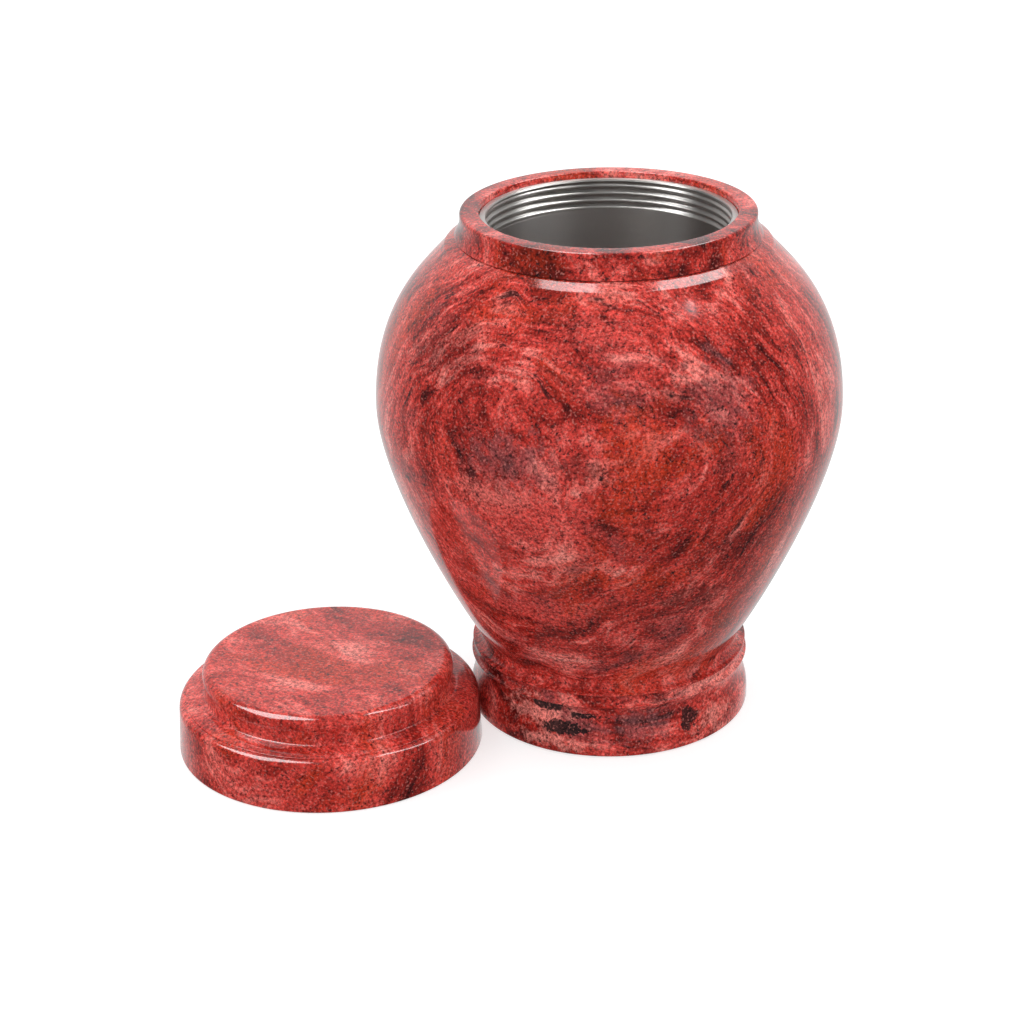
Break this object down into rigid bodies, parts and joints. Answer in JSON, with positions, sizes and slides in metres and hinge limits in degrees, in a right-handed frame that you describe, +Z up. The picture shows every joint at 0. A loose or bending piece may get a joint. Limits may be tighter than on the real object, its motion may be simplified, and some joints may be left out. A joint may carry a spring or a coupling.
{
  "type": "cremation urn",
  "caption": "Hollow vase-shaped stone urn on a moulded foot, with a flat neck ring, a threaded steel mouth and a stepped round lid lying beside it.",
  "frame": {"origin": "centre of the foot's underside, on the surface the urn stands on", "axes": "+Z up along the urn's axis, -Y towards the viewer, and the lid lies towards -X and a little towards -Y"},
  "size_m": [0.2995, 0.2177, 0.236],
  "materials": {
    "foot_stone": "polished",
    "body_stone": "polished",
    "collar_stone": "polished",
    "lid_stone": "polished",
    "steel": "turned and threaded"
  },
  "bodies": {
    "root": {"foot": "foot_stone", "urn_body": "body_stone", "neck_collar": "collar_stone", "threaded_sleeve": "steel", "lid": "lid_stone"}
  },
  "joints": []
}
